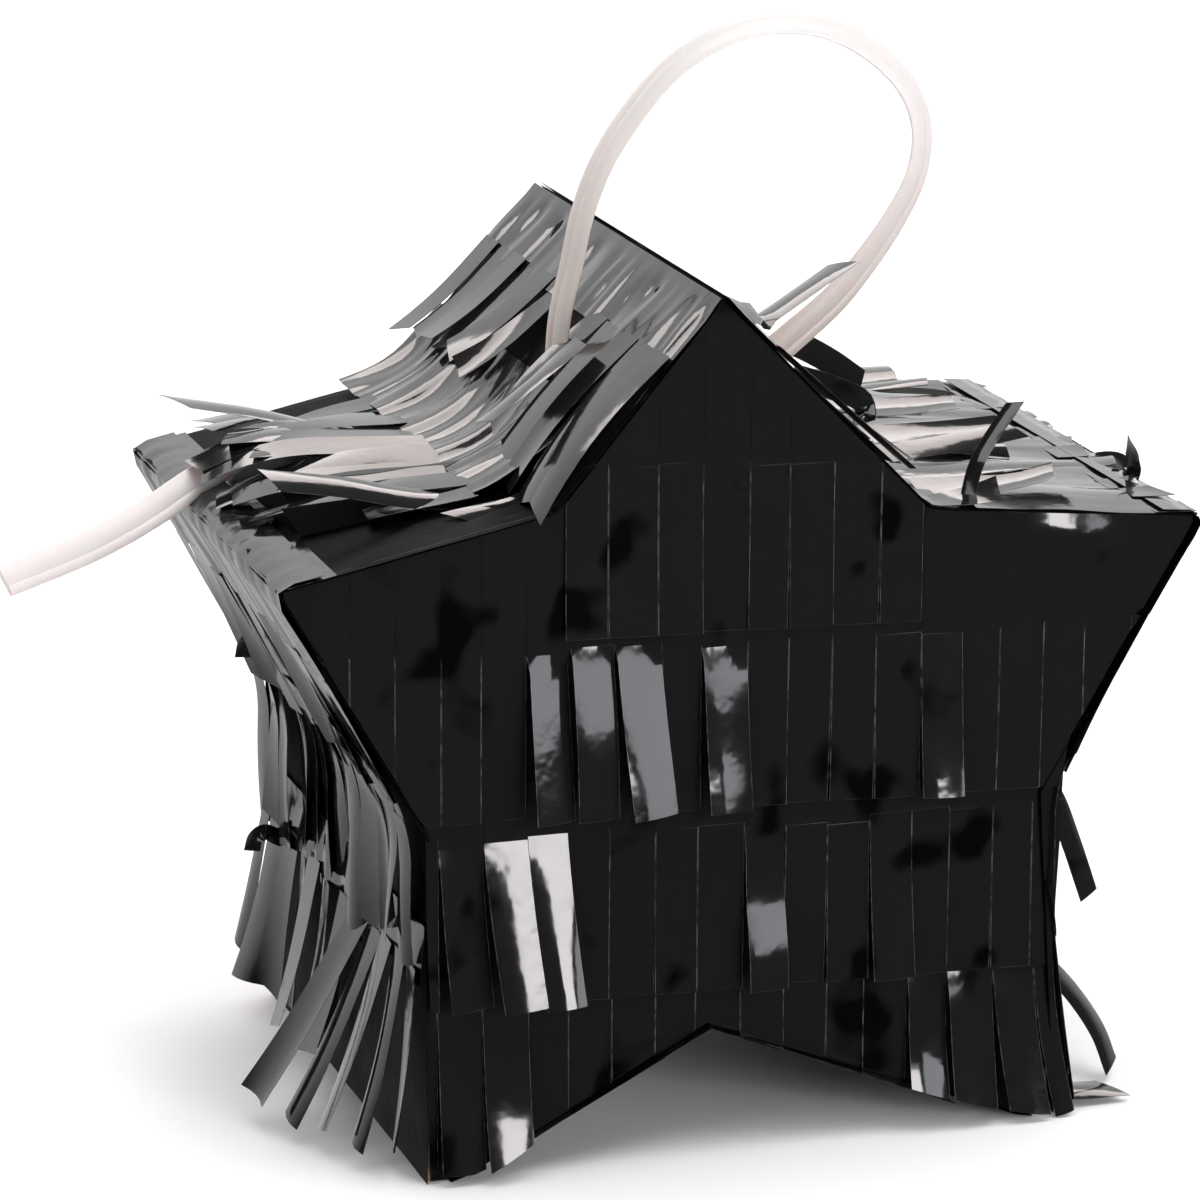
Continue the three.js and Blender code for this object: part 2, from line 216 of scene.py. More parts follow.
def add_surface(tree, bsdf, colour, roughness):
    tree.links.new(colour, bsdf.inputs["Base Color"])
    tree.links.new(roughness, bsdf.inputs["Roughness"])


def add_noise(tree, scale, detail=3.0, stretch=None):
    """A noise texture in object space; `stretch` scales X, Y and Z before it."""
    place = tree.nodes.new("ShaderNodeTexCoord")
    texture = tree.nodes.new("ShaderNodeTexNoise")
    texture.inputs["Scale"].default_value = scale
    texture.inputs["Detail"].default_value = detail
    if stretch:
        mapping = tree.nodes.new("ShaderNodeMapping")
        mapping.inputs["Scale"].default_value = stretch
        tree.links.new(place.outputs["Object"], mapping.inputs["Vector"])
        tree.links.new(mapping.outputs["Vector"], texture.inputs["Vector"])
    else:
        tree.links.new(place.outputs["Object"], texture.inputs["Vector"])
    return texture.outputs["Fac"]


def add_ramp(tree, factor, stops):
    """Maps a factor to colours: stops are (position, (r, g, b))."""
    ramp = tree.nodes.new("ShaderNodeValToRGB")
    while len(ramp.color_ramp.elements) < len(stops):
        ramp.color_ramp.elements.new(0.5)
    for element, (position, colour) in zip(ramp.color_ramp.elements, stops):
        element.position = position
        element.color = (*colour, 1)
    tree.links.new(factor, ramp.inputs["Fac"])
    return ramp.outputs["Color"]


def add_range(tree, factor, low, high, start=0, end=1):
    """Maps a factor from `start` to `end` onto low to high."""
    node = tree.nodes.new("ShaderNodeMapRange")
    node.inputs["From Min"].default_value = start
    node.inputs["From Max"].default_value = end
    node.inputs["To Min"].default_value = low
    node.inputs["To Max"].default_value = high
    tree.links.new(factor, node.inputs["Value"])
    return node.outputs["Result"]


def add_mix(tree, factor, first, second, blend="MIX"):
    """Mixes two colours: each, like the factor, is a value or the output of another node."""
    node = tree.nodes.new("ShaderNodeMix")
    node.data_type = "RGBA"
    node.blend_type = blend
    for socket, value in ((node.inputs[0], factor), (node.inputs[6], first), (node.inputs[7], second)):
        if isinstance(value, tuple):
            socket.default_value = (*value, 1)
        elif isinstance(value, float):
            socket.default_value = value
        else:
            tree.links.new(value, socket)
    return node.outputs[2]


def add_product(tree, first, second):
    node = tree.nodes.new("ShaderNodeMath")
    node.operation = "MULTIPLY"
    tree.links.new(first, node.inputs[0])
    tree.links.new(second, node.inputs[1])
    return node.outputs["Value"]


def add_bump(tree, bsdf, height, strength, distance_m):
    bump = tree.nodes.new("ShaderNodeBump")
    bump.inputs["Strength"].default_value = strength
    bump.inputs["Distance"].default_value = distance_m
    tree.links.new(height, bump.inputs["Height"])
    tree.links.new(bump.outputs["Normal"], bsdf.inputs["Normal"])


def foil_material():
    """Glossy black plastic film: soft blotches, faint scuffs and pale lines where it was cut."""
    material, tree, bsdf = new_material("black_foil")
    blotches = add_noise(tree, 75, detail=2.0)
    film = add_ramp(tree, blotches, [(0.33, (0.0008, 0.0008, 0.0009)), (0.4, (0.0075, 0.0073, 0.0075))])
    cut = tree.nodes.new("ShaderNodeAttribute")
    cut.attribute_name = "cut_edge"
    burr = add_ramp(tree, add_noise(tree, 600, detail=2.0), [(0.4, grey(0.15)), (0.6, grey(1))])
    pale = add_product(tree, cut.outputs["Fac"], burr)
    scuffs = add_noise(tree, 260, detail=5.0)
    colour = add_mix(tree, pale, film, (0.14, 0.135, 0.13))
    add_surface(tree, bsdf, colour, add_range(tree, scuffs, 0.02, 0.16))
    bsdf.inputs["IOR"].default_value = 1.55
    add_bump(tree, bsdf, add_noise(tree, 240, detail=2.0), 0.25, 0.0002)
    return material


def dull_foil_material():
    """The dull side of the film, with fine scratches."""
    material, tree, bsdf = new_material("dull_black_foil")
    scratches = add_noise(tree, 900, detail=4.0, stretch=(0.08, 1, 0.5))
    colour = add_ramp(tree, scratches, [(0.62, (0.001, 0.001, 0.0011)), (0.8, (0.03, 0.03, 0.031))])
    add_surface(tree, bsdf, colour, add_range(tree, add_noise(tree, 120), 0.35, 0.6))
    bsdf.inputs["Specular IOR Level"].default_value = 0.02
    add_bump(tree, bsdf, scratches, 0.3, 0.0001)
    return material


def card_material(name, dark, light):
    """Plain brown card with fibres along its length."""
    material, tree, bsdf = new_material(name)
    fibres = add_noise(tree, 500, detail=6.0, stretch=(1, 0.15, 1))
    colour = add_ramp(tree, fibres, [(0.3, dark), (0.7, light)])
    add_surface(tree, bsdf, colour, add_range(tree, fibres, 0.75, 0.95))
    add_bump(tree, bsdf, fibres, 0.5, 0.0001)
    return material


def strap_material():
    """Milky white plastic with fine streaks along its length; near its ends, where it meets the foil, a
    painted shade makes it darker and warmer.
    """
    material, tree, bsdf = new_material("strap_plastic")
    uv = tree.nodes.new("ShaderNodeUVMap")
    uv.uv_map = "UVMap"
    split = tree.nodes.new("ShaderNodeSeparateXYZ")
    tree.links.new(uv.outputs["UV"], split.inputs["Vector"])
    # painted shade: the ramp runs from a darker, warmer tone at its start, which the strap gets near its
    # ends, to plain white
    along = add_ramp(tree, split.outputs["Y"], [
        (0.0, (0.46, 0.41, 0.37)), (0.2, (0.57, 0.54, 0.52)), (0.4, (0.62, 0.61, 0.605)),
        (1.0, (0.65, 0.64, 0.635)),
    ])
    streaks = add_noise(tree, 900, detail=3.0, stretch=(1, 1, 0.12))
    shade = add_range(tree, streaks, 0.0, 0.35)
    colour = add_mix(tree, shade, along, (0.5, 0.465, 0.44))
    add_surface(tree, bsdf, colour, add_range(tree, streaks, 0.28, 0.42))
    bsdf.inputs["Subsurface Weight"].default_value = 0.25
    bsdf.inputs["Subsurface Scale"].default_value = 0.002
    add_bump(tree, bsdf, streaks, 0.3, 0.0001)
    return material


def floor_material():
    material, tree, bsdf = new_material("studio_floor")
    grain = add_noise(tree, 30, detail=4.0)
    colour = add_ramp(tree, grain, [(0.3, grey(0.93)), (0.7, grey(0.95))])
    tree.links.new(colour, bsdf.inputs["Base Color"])
    bsdf.inputs["Roughness"].default_value = 0.9
    bsdf.inputs["Specular IOR Level"].default_value = 0.0
    return material


FOIL = foil_material()
DULL_FOIL = dull_foil_material()
CARD = card_material("brown_card", (0.3, 0.21, 0.13), (0.46, 0.35, 0.24))
TABS = card_material("glued_card_tabs", (0.38, 0.29, 0.2), (0.56, 0.46, 0.34))
STRAP = strap_material()

# ------------------------------------------------------------------ camera


def camera_axes(azimuth, elevation, roll):
    """The camera's right, up and backward directions."""
    level = math.cos(elevation)
    forward = Vector((-math.sin(azimuth) * level, math.cos(azimuth) * level, -math.sin(elevation)))
    level_right = Vector((math.cos(azimuth), math.sin(azimuth), 0))
    level_up = level_right.cross(forward)
    right = level_right * math.cos(roll) + level_up * math.sin(roll)
    up = level_up * math.cos(roll) - level_right * math.sin(roll)
    return right, up, -forward


AZIMUTH, ELEVATION, ROLL = (math.radians(a) for a in (-18.71, 15.77, 0.69))
TO_CAMERA = camera_axes(AZIMUTH, ELEVATION, ROLL)[2]


def add_camera():
    aim_m = Vector((-0.0231, CARD_LOW.y - 0.002, 0.0866))
    distance_m = 0.7587
    right, up, backward = camera_axes(AZIMUTH, ELEVATION, ROLL)
    data = bpy.data.cameras.new("camera")
    data.lens = 160
    data.sensor_width = 36
    camera = link_object("camera", data)
    turn = Matrix((right, up, backward)).transposed().to_4x4()
    camera.matrix_world = Matrix.Translation(aim_m + backward * distance_m) @ turn
    bpy.context.scene.camera = camera


add_camera()

# ------------------------------------------------------------------ strap

STRAP_WIDTH = 4.8
STRAP_THICK = 0.8
LOOP_PLANE = -1.5 * STRIP
LOOP_PROFILE = [
    (-19.3, 111.8), (-18.7, 119.9), (-17, 127.6), (-15.3, 135.6), (-12.2, 143.4), (-7, 151),
    (-1.5, 156.7), (5.5, 160.7), (13.4, 162.4), (21.7, 161.5), (29.1, 157.8), (34.9, 152.3),
    (37.6, 145.8), (37, 138.8), (34, 132.7), (29.8, 126.7), (24.4, 120.5), (18, 115.3), (12.6, 111.1),
]
TAIL_START = Vector((-49.5, 3.5 * STRIP, 0))
TAIL_END = Vector((-102.5, -12, 0))
TAIL_PROFILE = [
    (0.3, 97.6), (6, 97.2), (12, 96.4), (18, 95), (24.6, 93.4), (31, 91.6), (38, 90), (46, 88.7),
    (54.5, 87.9), (63.6, 87.2),
]


def smooth_path(points, steps):
    """Points at equal steps along a smooth curve through `points`."""
    fine = 12  # points on each stretch, before the equal steps are found
    dense = []
    ends = [points[0] * 2 - points[1]] + points + [points[-1] * 2 - points[-2]]
    for i in range(1, len(ends) - 2):
        for j in range(fine):
            t = j / fine
            a, b, c, d = ends[i - 1], ends[i], ends[i + 1], ends[i + 2]
            dense.append(0.5 * (
                2 * b + (c - a) * t + (2 * a - 5 * b + 4 * c - d) * t * t + (3 * b - a - 3 * c + d) * t ** 3
            ))
    dense.append(points[-1].copy())
    reach = [0.0]
    for one, two in zip(dense, dense[1:]):
        reach.append(reach[-1] + (two - one).length)
    result = []
    k = 0
    for step in range(steps + 1):
        want = reach[-1] * step / steps
        while k < len(reach) - 2 and reach[k + 1] < want:
            k += 1
        share = (want - reach[k]) / max(reach[k + 1] - reach[k], 1e-9)
        result.append(dense[k].lerp(dense[k + 1], share))
    return result, reach[-1]


def strap_section():
    """The strap's section: a strip of film folded lengthwise, so one long crease shows."""
    half, thick = STRAP_WIDTH / 2, STRAP_THICK / 2
    crease = 0.35 * half
    face = [
        (-half, 0.0), (-half + 0.2, thick * 0.7), (-crease - 0.1, thick), (-crease, thick * 0.8),
        (-crease + 0.1, thick), (half - 0.2, thick * 0.7),
    ]
    return face + [(-w, -t) for w, t in face]


def strap_mesh(name, points, side_at, painted_end_shade_at):
    """A closed strap along points. side_at(t) is the direction of its face at share t."""
    steps = 90
    path, length = smooth_path(points, steps)
    section = strap_section()
    count = len(section)
    verts, uvs = [], []
    for step, centre in enumerate(path):
        before, after = path[max(step - 1, 0)], path[min(step + 1, steps)]
        tangent = (after - before).normalized()
        share = step / steps
        face = side_at(share, tangent)
        face = (face - tangent * face.dot(tangent)).normalized()
        across = tangent.cross(face)
        for k, (w, t) in enumerate(section):
            verts.append(centre + across * w + face * t)
            # the second UV coordinate sets the painted shade near the strap's ends
            uvs.append((k / count, painted_end_shade_at(share)))
    faces = []
    for step in range(steps):
        for k in range(count):
            a, b = step * count + k, step * count + (k + 1) % count
            faces.append((a, b, b + count, a + count))
    faces.append(tuple(reversed(range(count))))
    faces.append(tuple(steps * count + k for k in range(count)))
    mesh = bpy.data.meshes.new(name)
    mesh.from_pydata([v * MM for v in verts], [], faces)
    layer = mesh.uv_layers.new(name="UVMap")
    for loop in mesh.loops:
        layer.data[loop.index].uv = uvs[loop.vertex_index]
    mesh.shade_smooth()
    mesh.set_sharp_from_angle(angle=math.radians(60))
    mesh.materials.append(STRAP)
    return link_object(name, mesh), [p * MM for p in path], length * MM


def add_loop():
    points = [Vector((x, LOOP_PLANE, z)) for x, z in LOOP_PROFILE]
    twists = [(0.0, 22), (0.45, 30), (0.75, 63), (1.0, 100)]

    def face(share, tangent):
        outward = Vector((-tangent.z, 0, tangent.x))
        turn = math.radians(np.interp(share, *zip(*twists)))
        return outward * math.cos(turn) + Vector((0, -1, 0)) * math.sin(turn)

    # painted shade: darkest where the loop goes into the foil at both ends
    def painted_end_shade(share):
        return min(share / 0.9, (1 - share) / 0.75, 1.0)

    loop, path, length_m = strap_mesh("strap_loop", points, face, painted_end_shade)
    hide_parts("hanging_loop")
    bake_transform(loop)


def add_tail():
    direction = (TAIL_END - TAIL_START).normalized()
    points = [TAIL_START + direction * s + Vector((0, 0, z)) for s, z in TAIL_PROFILE]
    toward = Vector((-0.31, -0.91, 0.27))

    def face(share, tangent):
        turn = smooth_step(share, 0.0, 0.45)
        return Vector((0, 0, 1)).lerp(toward, 0.35 + 0.6 * turn)

    # painted shade: darker where the tail comes out from under the raised strips
    def painted_end_shade(share):
        return smooth_step(share, -0.1, 0.55)

    tail, path, length_m = strap_mesh("strap_tail", points, face, painted_end_shade)
    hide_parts("ribbon_tail")
    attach(tail, "tail")


add_loop()
add_tail()

# ------------------------------------------------------------------ foil strips


def strip_line(length, bend, steps):
    """The middle line of a bent strip: how far it has gone across, down and out at each step."""
    skew = bend["skew"]
    across, down, out = [0.0], [0.0], [0.0]
    step = length / steps
    for i in range(steps):
        share = (i + 0.5) / steps
        hump = math.exp(-((share - bend["hump_from"]) / bend["hump_over"]) ** 2)
        curl = bend["curl"] * smooth_step(share, bend["curl_from"], 1.0)
        pitch = bend["lift"] + curl + bend["hump"] * hump
        across.append(across[-1] + step * math.cos(pitch) * math.sin(skew * share ** SKEW_POWER))
        down.append(down[-1] + step * math.cos(pitch) * math.cos(skew * share ** SKEW_POWER))
        out.append(out[-1] + step * math.sin(pitch))
    return across, down, out


EDGE = 0.08  # width of the pale line along a cut
WALL_CUT = 0.6  # how pale a cut on the walls is, where a slit on the front is 1
END_CUT = 0.25  # and the cut at a front strip's lower end
TWIST_POWER = 1.3  # a strip twists and skews unevenly along its length
SKEW_POWER = 0.5


def strip_columns(a0, a1):
    width = a1 - a0
    return [a0 + width * s for s in (0.0, EDGE / width, 0.28, 0.5, 0.72, 1 - EDGE / width, 1.0)]


def bent_strip(a0, a1, start, length, base, bend, cut_slant, steps):
    """A strip's grid in a wall's own axes (across, down, out), with its edge marks.

    `start` is where the slits begin and `base` how far the foil stands off the card there.
    """
    middle = (a0 + a1) / 2
    columns = strip_columns(a0, a1)
    across, down, out = strip_line(length, bend, steps)
    rows, edges = [], []
    for i in range(steps + 1):
        share = i / steps
        twist = bend["twist"] * share ** TWIST_POWER + bend["roll"]
        cup = bend["cup"] * share
        row, edge = [], []
        for k, a in enumerate(columns):
            off = a - middle
            bow = cup * (1 - (2 * off / (a1 - a0)) ** 2)
            angle = bend["skew"] * share ** SKEW_POWER
            row.append((
                middle + across[i] + off * math.cos(twist) * math.cos(angle),
                start + down[i] + cut_slant * off * share - off * math.sin(angle) * math.cos(twist),
                base + out[i] + off * math.sin(twist) + bow,
            ))
            edge.append(WALL_CUT if k in (0, len(columns) - 1) else 0.0)
        rows.append(row)
        edges.append(edge)
    return rows, edges


FLAT = {
    "lift": 0.0, "curl": 0.0, "curl_from": 0.0, "hump": 0.0, "hump_from": 0.5, "hump_over": 0.2,
    "skew": 0.0, "twist": 0.0, "roll": 0.0, "roll_over": 0.16, "cup": 0.0,
}


def degrees(**values):
    """Some of a bend's values, given in degrees.

    `cup` is in millimetres, and a value that ends in _from or _over is a share of the length.
    """
    return {
        key: value if key == "cup" or key.endswith(("_from", "_over")) else math.radians(value)
        for key, value in values.items()
    }


def bend_of(**values):
    return dict(FLAT, **degrees(**values))


def random_bend(rng, lift, curl, skew, twist, cup):
    """A bend near the given one: each angle is (middle, spread) in degrees."""
    def pick(pair):
        return rng.gauss(pair[0], pair[1])
    return bend_of(
        lift=max(pick(lift), 0.2), curl=pick(curl), curl_from=rng.uniform(0.0, 0.4), skew=pick(skew),
        twist=pick(twist), roll=rng.gauss(0, twist[1] * 0.25), cup=rng.gauss(0, cup),
    )


class Face:
    """A flat face of the card box with its own axes: across, down and out."""

    def __init__(self, origin, across, down, out):
        axes = (origin, across, down, out)
        self.origin, self.across, self.down, self.out = (np.array(v, float) for v in axes)

    def place(self, rows):
        across, down, out = (np.array(rows, float)[..., i:i + 1] for i in range(3))
        return self.origin + across * self.across + down * self.down + out * self.out


FRONT = Face((0, FRONT_CARD, 0), (1, 0, 0), (0, 0, -1), (0, -1, 0))
BACK = Face((0, BACK_CARD, 0), (1, 0, 0), (0, 0, -1), (0, 1, 0))


# ------------------------------------------------------------------ fringe on the two faces

ROWS = ("legs", "waist", "arms", "top")
STRIP_LENGTH = 25.0
SLIT_GAP = 0.03  # between a slit's middle and the strips beside it
PLAIN_BEND = ((0.8, 0.5), (0.6, 1.2), (0.0, 0.5), (0.0, 0.9), 0.04)  # lift, curl, skew, twist and cup
ROW_BASE = {"legs": 0.5, "waist": 0.8, "arms": 1.1, "top": 1.4}
ROW_RANGE = {"top": (-28.2, 26.4), "arms": (-73.4, 73.0), "waist": (-53.2, 52.4), "legs": (-53.2, 53.0)}
ROW_TOP = {"top": 140.0, "arms": 110.0, "waist": 60.0, "legs": 34.0}


def slits(rng, low, high, jitter=0.55):
    """Where a row is slit: close to every STRIP, as cut by hand."""
    count = round((high - low) / STRIP)
    places = [low + (high - low) * i / count for i in range(count + 1)]
    return [p if i in (0, count) else p + rng.uniform(-jitter, jitter) for i, p in enumerate(places)]


def row_covers(row, x, line):
    """Whether the star holds a stretch of this row at this X."""
    span = star_span(x)
    return span is not None and max(line(ROW_BOTTOMS[row], x), span[0]) + 1.0 < min(ROW_TOP[row], span[1])


def add_face_row(face, prefix, row, seed, special, mirror=1, window=None):
    """One band of fringe on the front or back, trimmed to the star.

    special has the bend of a strip that is not plain, by the X of its middle, mirror is -1 on the
    back, and window says which strips belong to the flap.
    """
    rng = random.Random(seed)
    sheets = Sheets()
    low, high = ROW_RANGE[row]
    base = ROW_BASE[row]
    places = slits(rng, low, high)
    if mirror < 0:
        places = sorted(-p for p in places)

    def line(height, x):
        return height + ROW_SLOPE * x * mirror

    for a0, a1 in zip(places, places[1:]):
        middle = (a0 + a1) / 2
        if window and window(middle):
            continue
        tries = np.linspace(a0 + SLIT_GAP, a1 - SLIT_GAP, 25)
        inside = [a for a in tries if row_covers(row, a, line)]
        if len(inside) < 3:
            continue
        columns = strip_columns(inside[0], inside[-1])
        spans = [star_span(a) for a in columns]
        slit_jitter = rng.uniform(-0.8, 0.8)
        plain = random_bend(rng, *PLAIN_BEND)
        bend = next((v for k, v in special.items() if abs(k - middle) < STRIP / 2), plain)
        ragged = rng.uniform(-1.3, 0.3) if row == "legs" else 0.1
        bottom = [max(line(ROW_BOTTOMS[row], a), s[0] + ragged, LOWEST) for a, s in zip(columns, spans)]
        slit = line(ROW_BOTTOMS[row], middle) + STRIP_LENGTH + slit_jitter
        top = [min(ROW_TOP[row], s[1] - 0.1) for s in spans]
        head = [(max(slit, b), t) for b, t in zip(bottom, top)]
        if any(t - b > 0.3 for b, t in head):
            add_header(sheets, face, columns, head, base, seed)
        start = [min(slit, t) for t in top]
        lengths = [s - b for s, b in zip(start, bottom)]
        if max(lengths) > 1.0:
            add_trimmed_strip(sheets, face, columns, start, lengths, slit, base, bend)
    piece = sheets.build(f"{prefix}_row_{row}")
    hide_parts(f"{prefix}_fringe_{row}")
    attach(piece, "box")


def dent(x, z):
    """A pressed fold in the right arm's foil."""
    depth, middle_x, middle_z, slope = 0.8, 50, 90.5, 0.12
    along = x - middle_x
    across = z - middle_z + slope * along
    return depth * math.exp(-(along / 7) ** 2 - (across / 2.6) ** 2)


def add_header(sheets, face, columns, head, base, seed):
    """The uncut foil above a strip: head is the lowest and highest Z at each column."""
    steps, ripple, ripple_size = 12, 0.14, 16
    rows = []
    for share in np.linspace(0, 1, steps + 1):
        row = []
        for (low, high), a in zip(head, columns):
            high = max(high, low + 0.01)
            z = high + (low - high) * share
            height = base + ripple * wave((a, z, 0), ripple_size, seed) + dent(a, z)
            row.append((a, -z, height))
        rows.append(row)
    sheets.add(face.place(rows))


def add_trimmed_strip(sheets, face, columns, start, lengths, slit, base, bend):
    """A strip whose ends follow the row's trimmed edge."""
    steps, line_steps = 12, 24
    shares = [i / steps for i in range(steps)] + [1 - EDGE / max(max(lengths), 1.0), 1.0]
    middle = (columns[0] + columns[-1]) / 2
    longest = max(slit - (s - length) for s, length in zip(start, lengths))
    line = strip_line(longest, bend, line_steps)
    rows, edges = [], []
    for share in shares:
        row, edge = [], []
        for k, (a, s, length) in enumerate(zip(columns, start, lengths)):
            s_here = max(slit - s + max(length, 0.01) * share, 0.0)
            where = min(s_here / longest, 1.0)
            x, y, z = (float(np.interp(where * line_steps, range(line_steps + 1), way)) for way in line)
            off = a - middle
            twist = bend["twist"] * where ** TWIST_POWER + bend["roll"] * min(1.0, where / bend["roll_over"])
            angle = bend["skew"] * where ** SKEW_POWER
            bow = bend["cup"] * where * (1 - (2 * off / (columns[-1] - columns[0])) ** 2)
            row.append((
                middle + x + off * math.cos(twist) * math.cos(angle),
                -slit + y - off * math.sin(angle) * math.cos(twist),
                base + z + off * math.sin(twist) + bow,
            ))
            edge.append(1.0 if k in (0, len(columns) - 1) else END_CUT * (share == 1))
        rows.append(row)
        edges.append(edge)
    sheets.add(face.place(rows), edges)


FRONT_SPECIAL = {
    "top": {},
    "arms": {
        -30.5: bend_of(lift=10, curl=-2, curl_from=0.2, roll=-17, roll_over=0.04, skew=1, cup=0.35),
        -24.0: bend_of(lift=13, curl=-10, curl_from=0.1, roll=-11, roll_over=0.03, skew=0.5, cup=0.3),
        -17.0: bend_of(lift=12, curl=-2, curl_from=0.5, roll=-12, roll_over=0.03, skew=5, cup=0.3),
        -4.0: bend_of(
            lift=10, curl=-9, hump=9, hump_from=0.85, hump_over=0.25, roll=-9, roll_over=0.03,
            twist=-3, skew=1, cup=0.45,
        ),
        30.5: bend_of(lift=5, curl=6, curl_from=0.5, roll=3, cup=0.3),
    },
    "waist": {
        -46.0: bend_of(lift=4, curl=2, roll=-10, skew=5, cup=0.2),
        -39.5: bend_of(lift=12.5, curl=1, curl_from=0.3, roll=1, skew=6, cup=0.3),
        -33.0: bend_of(lift=12.5, curl=1, curl_from=0.4, roll=0, skew=5, cup=0.5),
        1.0: bend_of(lift=2, hump=13, hump_from=0.62, hump_over=0.25, roll=-10, cup=0.2),
        21.0: bend_of(lift=3, curl=3, roll=-3, skew=2, cup=0.3),
    },
    "legs": {
        -41.5: bend_of(lift=5, curl=4, roll=-3, cup=0.3),
        -35.0: bend_of(lift=7, curl=12, curl_from=0.3, roll=-2, cup=0.3),
        29.0: bend_of(lift=5, curl=12, curl_from=0.2, roll=-9, cup=0.4),
        36.0: bend_of(lift=8, curl=2, curl_from=0.2, roll=-9, twist=-2, skew=2, cup=0.4),
        43.0: bend_of(lift=7, curl=4, roll=-4, skew=9, cup=0.3),
        49.0: bend_of(lift=4, curl=4, roll=-4, skew=12, cup=0.3),
    },
}


def add_face_cover(sheets, face, seed, window=None):
    """The foil under the rows, over the whole star but for the window (left, right, bottom, top)."""
    wider, larger = 1.006, 1.008  # the cover reaches just past the card's edge
    spacing, height, ripple, ripple_size = 1.5, 0.32, 0.05, 18
    pieces = [(CORNER["left_tip"][0] * wider, CORNER["right_tip"][0] * wider, None, None)]
    if window:
        left, right, bottom, top = window
        pieces = [(pieces[0][0], left, None, None), (right, pieces[0][1], None, None),
                  (left, right, top, None), (left, right, None, bottom)]
    for x0, x1, floor, ceiling in pieces:
        columns = np.linspace(x0, x1, max(int((x1 - x0) / spacing), 2))
        rows = []
        for share in np.linspace(0, 1, 24):
            row = []
            for x in columns:
                low, high = star_span(x, larger)
                low = max(low, floor or LOWEST)
                high = min(high, ceiling or high)
                z = high + (low - high) * share
                row.append((x, -z, height + ripple * wave((x, z, 0), ripple_size, seed)))
            rows.append(row)
        sheets.add(face.place(rows))


def add_face_fringe():
    for index, row in enumerate(ROWS):
        add_face_row(FRONT, "front", row, 11 + index, FRONT_SPECIAL[row])
    flap_low, flap_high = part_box("fill_flap")
    left, right = flap_low.x / MM, flap_high.x / MM
    gap = 0.4  # around the flap
    hole = (left - gap, right + gap, flap_low.z / MM - gap, flap_high.z / MM + gap)
    for name, face, window in (("front_cover", FRONT, None), ("back_cover", BACK, hole)):
        sheets = Sheets()
        add_face_cover(sheets, face, 71, window)
        piece = sheets.build(name)
        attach(piece, "box")

    def in_window(x):
        return left - gap / 2 < x < right + gap / 2

    for index, row in enumerate(ROWS):
        window = in_window if row == "waist" else None
        add_face_row(BACK, "back", row, 31 + index, {}, mirror=-1, window=window)


add_face_fringe()

# ------------------------------------------------------------------ fringe on the walls


FLOOR_GAP = 0.2  # how far the walls' foil stays off the floor


class Wall:
    """A way down the walls, rounded where it turns, with the same axes as a Face."""

    def __init__(self, stops, rounding):
        """stops are (corner, next corner, share of the way between them)."""
        points = []
        for first, second, share in stops:
            (x0, z0), (x1, z1) = CORNER[first], CORNER[second]
            points.append((x0 + (x1 - x0) * share, z0 + (z1 - z0) * share))
        reach = np.concatenate([[0], np.cumsum([math.dist(p, q) for p, q in zip(points, points[1:])])])
        self.length = float(reach[-1])
        step = 0.25
        self.way = np.arange(0, self.length + step, step)
        line = np.array([np.interp(self.way, reach, [p[i] for p in points]) for i in range(2)]).T
        half = int(rounding / step)
        if half:
            padded = np.concatenate([
                line[0] + (line[0] - line[1]) * np.arange(half, 0, -1)[:, None],
                line,
                line[-1] + (line[-1] - line[-2]) * np.arange(1, half + 1)[:, None],
            ])
            window = np.ones(2 * half + 1) / (2 * half + 1)
            line = np.array([np.convolve(padded[:, i], window, "valid") for i in range(2)]).T
        slope = np.gradient(line, step, axis=0)
        slope /= np.linalg.norm(slope, axis=1, keepdims=True)
        out = np.array([slope[:, 1], -slope[:, 0]]).T
        if out[len(out) // 2] @ (line[len(line) // 2] - np.array(STAR_MIDDLE)) < 0:
            out = -out
        self.line, self.slope, self.out = line, slope, out

    def place(self, rows):
        grid = np.array(rows, float)
        a, d, h = grid[..., 0], grid[..., 1], grid[..., 2]
        inside = np.clip(d, 0, self.length)
        past = d - inside
        axes = []
        for i in range(2):
            place = np.interp(inside, self.way, self.line[:, i])
            slope = np.interp(inside, self.way, self.slope[:, i])
            out = np.interp(inside, self.way, self.out[:, i])
            axes.append(place + slope * past + out * h)
        return np.stack([axes[0], a, np.maximum(axes[1], FLOOR_GAP)], axis=-1)


HOLE_RADIUS = 2.3  # of the holes in the foil that the strap passes through
STRIP_LOWEST = 0.45  # how far the wall's strips stay off the card


def straight_wall(start, end):
    return Wall([(start, end, 0.0), (start, end, 1.0)], rounding=0)


def add_cover(sheets, wall, seed, holes=()):
    """The plain foil that lies on the whole wall, under the strips."""
    inset, height, ripple, ripple_size = 0.4, 0.3, 0.1, 13
    across = np.linspace(DEPTH_LOW + inset, DEPTH_HIGH - inset, 40)
    down = np.linspace(0.0, wall.length, 20)
    rows = [[(a, d, height + ripple * wave((a, d, 0), ripple_size, seed)) for a in across] for d in down]

    def keep(middle):
        return all((Vector(middle) - hole).length > HOLE_RADIUS for hole in holes)

    sheets.add(wall.place(rows), kind=1, keep=keep)


